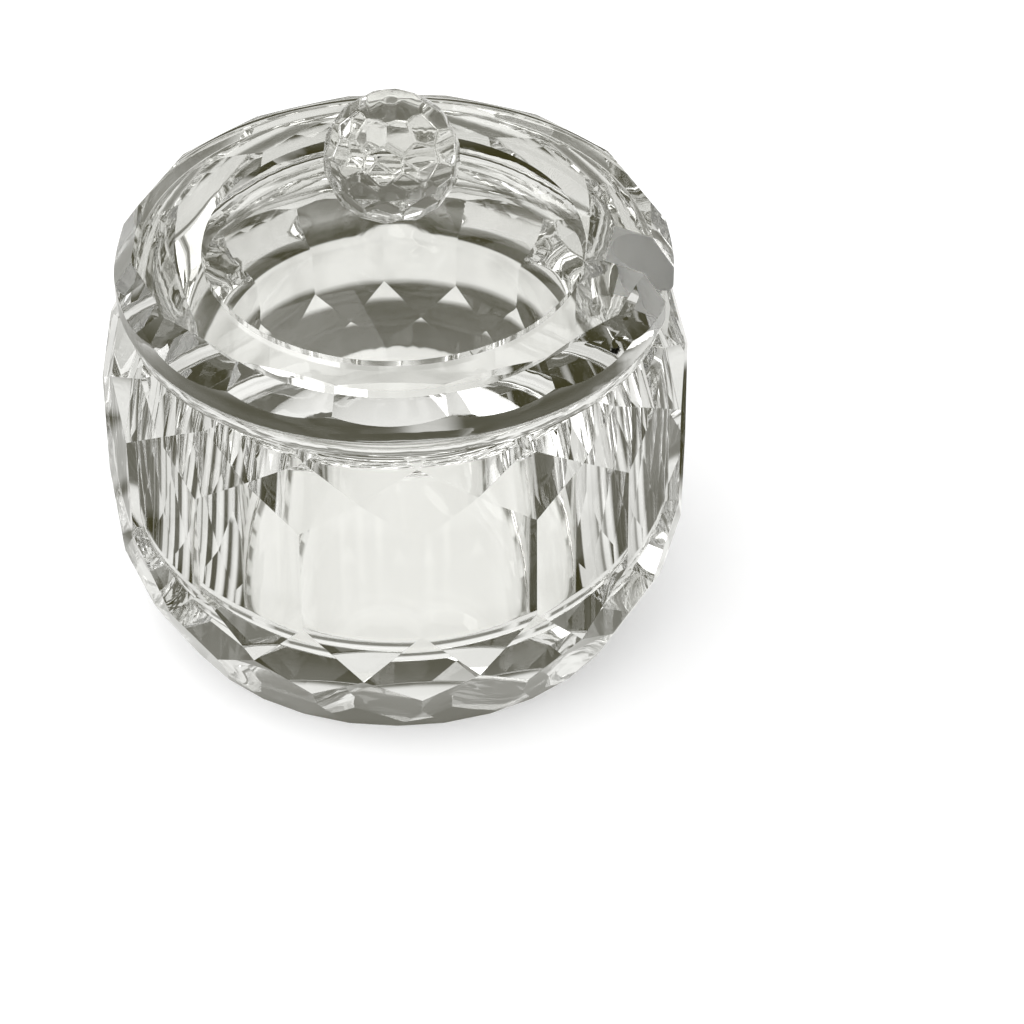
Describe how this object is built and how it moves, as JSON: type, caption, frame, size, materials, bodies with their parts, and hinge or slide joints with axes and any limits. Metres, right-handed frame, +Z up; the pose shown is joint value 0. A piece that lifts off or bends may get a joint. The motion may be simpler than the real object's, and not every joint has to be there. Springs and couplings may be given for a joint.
{
  "type": "honey pot",
  "caption": "Thick clear cut-glass honey pot with rows of flat diamond and panel cuts, a domed glass lid with a rim notch and a faceted ball knob.",
  "frame": {"origin": "centre of the flat base, on the table", "axes": "+Z up along the pot's axis, -Y the front, +X the side where the lid's notch is"},
  "size_m": [0.09, 0.09, 0.0883],
  "materials": {
    "pot_glass": "polished flat cuts, clear",
    "lid_glass": "polished, clear, with a satin ground notch in the rim",
    "knob_glass": "polished flat cuts, clear"
  },
  "bodies": {
    "root": {"pot": "pot_glass", "lid": "lid_glass", "knob": "knob_glass"}
  },
  "joints": []
}
